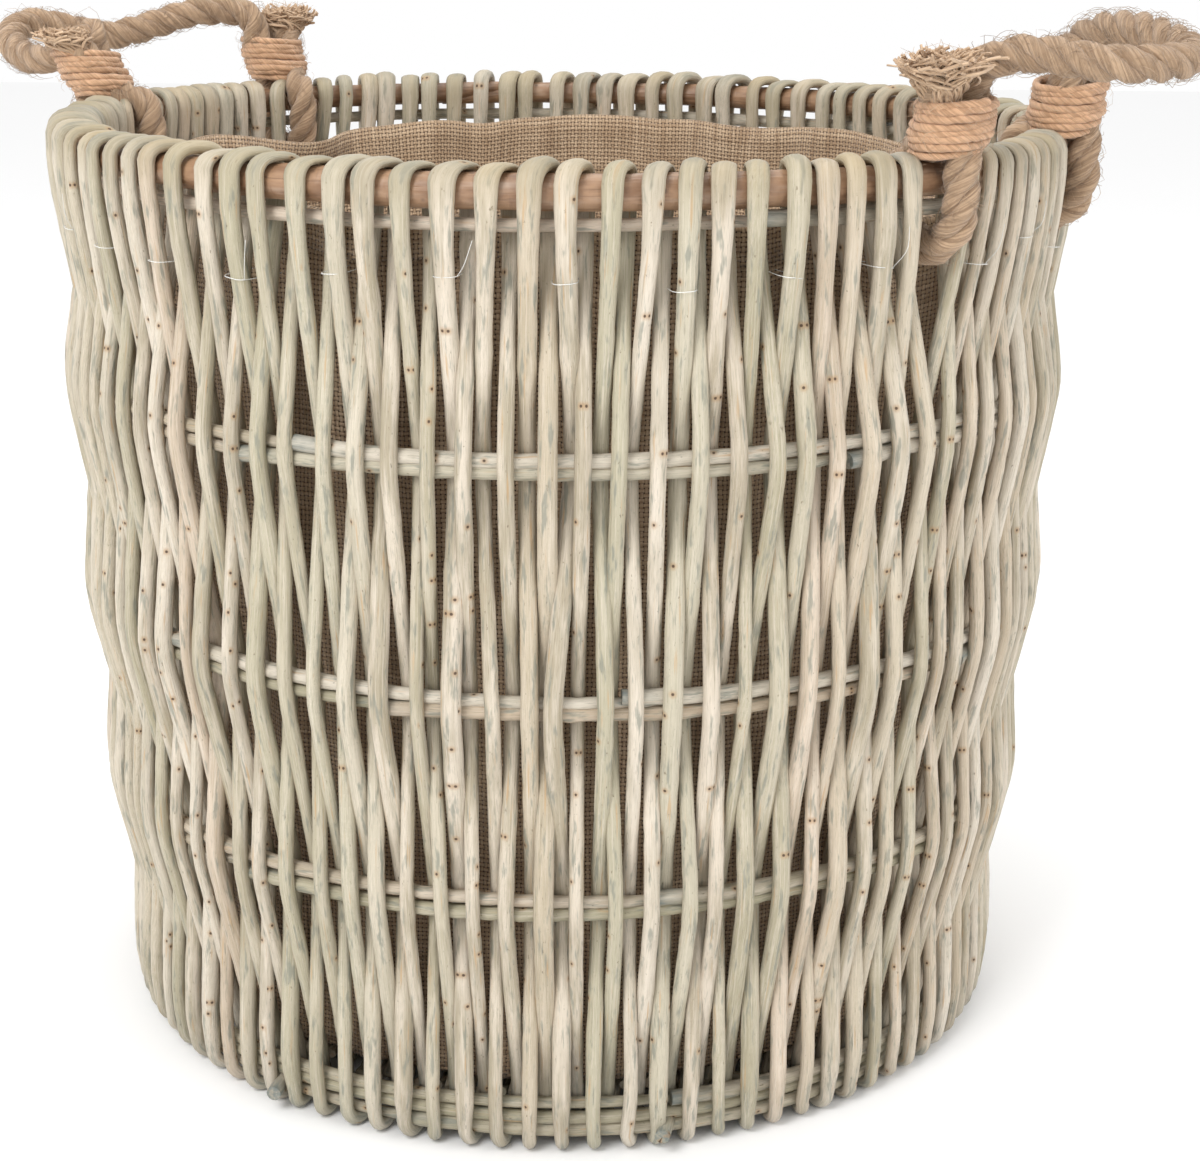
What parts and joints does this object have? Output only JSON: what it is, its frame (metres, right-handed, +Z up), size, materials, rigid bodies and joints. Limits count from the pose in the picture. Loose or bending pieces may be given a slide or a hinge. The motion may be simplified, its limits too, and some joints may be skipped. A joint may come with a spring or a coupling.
{
  "type": "basket",
  "caption": "Round willow storage basket woven from hairpin rods over a rim rod, with a jute cloth lining and two jute rope handles",
  "frame": {"origin": "centre of the footprint on the ground", "axes": "+Z up; -Y is the side that faces the viewer; the handles are at about -35 and 149 degrees from +X, counted anticlockwise from above"},
  "size_m": [0.586, 0.5188, 0.5206],
  "materials": {
    "willow_rods": "white-washed willow, satin",
    "willow_weavers": "white-washed willow, satin",
    "rim_rod": "brown unpeeled rod, smooth",
    "floor_willow": "white-washed willow, dull",
    "jute_cloth": "open plain-weave jute",
    "jute_rope": "laid three-strand jute rope",
    "twine": "wound jute twine"
  },
  "bodies": {
    "root": {"rim_hoop": "rim_rod", "top_hoop": "willow_weavers", "upper_weaver_high": "willow_weavers", "upper_weaver_low": "willow_weavers", "middle_weaver_high": "willow_weavers", "middle_weaver_low": "willow_weavers", "lower_weaver_high": "willow_weavers", "lower_weaver_low": "willow_weavers", "foot_hoop_high": "willow_weavers", "foot_hoop_middle": "willow_weavers", "foot_hoop_low": "willow_weavers", "rods_01": "willow_rods", "rods_02": "willow_rods", "rods_03": "willow_rods", "rods_04": "willow_rods", "rods_05": "willow_rods", "rods_06": "willow_rods", "rods_07": "willow_rods", "rods_08": "willow_rods", "rods_09": "willow_rods", "rods_10": "willow_rods", "rods_11": "willow_rods", "rods_12": "willow_rods", "floor_runners": "floor_willow", "floor_sticks": "floor_willow", "floor_rods": "floor_willow", "lining_wall": "jute_cloth", "lining_floor": "jute_cloth", "right_eye_front": "jute_rope", "right_eye_rear": "jute_rope", "left_eye_front": "jute_rope", "left_eye_rear": "jute_rope", "right_whipping_front": "twine", "right_whipping_rear": "twine", "left_whipping_front": "twine", "left_whipping_rear": "twine", "right_tuft_front": "jute_rope", "right_tuft_rear": "jute_rope", "left_tuft_front": "jute_rope", "left_tuft_rear": "jute_rope"},
    "right_handle": {"right_handle_rope": "jute_rope"},
    "left_handle": {"left_handle_rope": "jute_rope"}
  },
  "joints": [
    {"name": "right_handle_swing", "type": "hinge", "parent": "root", "child": "right_handle", "pos_m": [0.19777, -0.13688, 0.5018], "axis": [-0.5691, -0.8223, 0], "range_deg": [-38, 150]},
    {"name": "left_handle_swing", "type": "hinge", "parent": "root", "child": "left_handle", "pos_m": [-0.2063, 0.12365, 0.5018], "axis": [0.5141, 0.8577, 0], "range_deg": [-38, 150]}
  ]
}
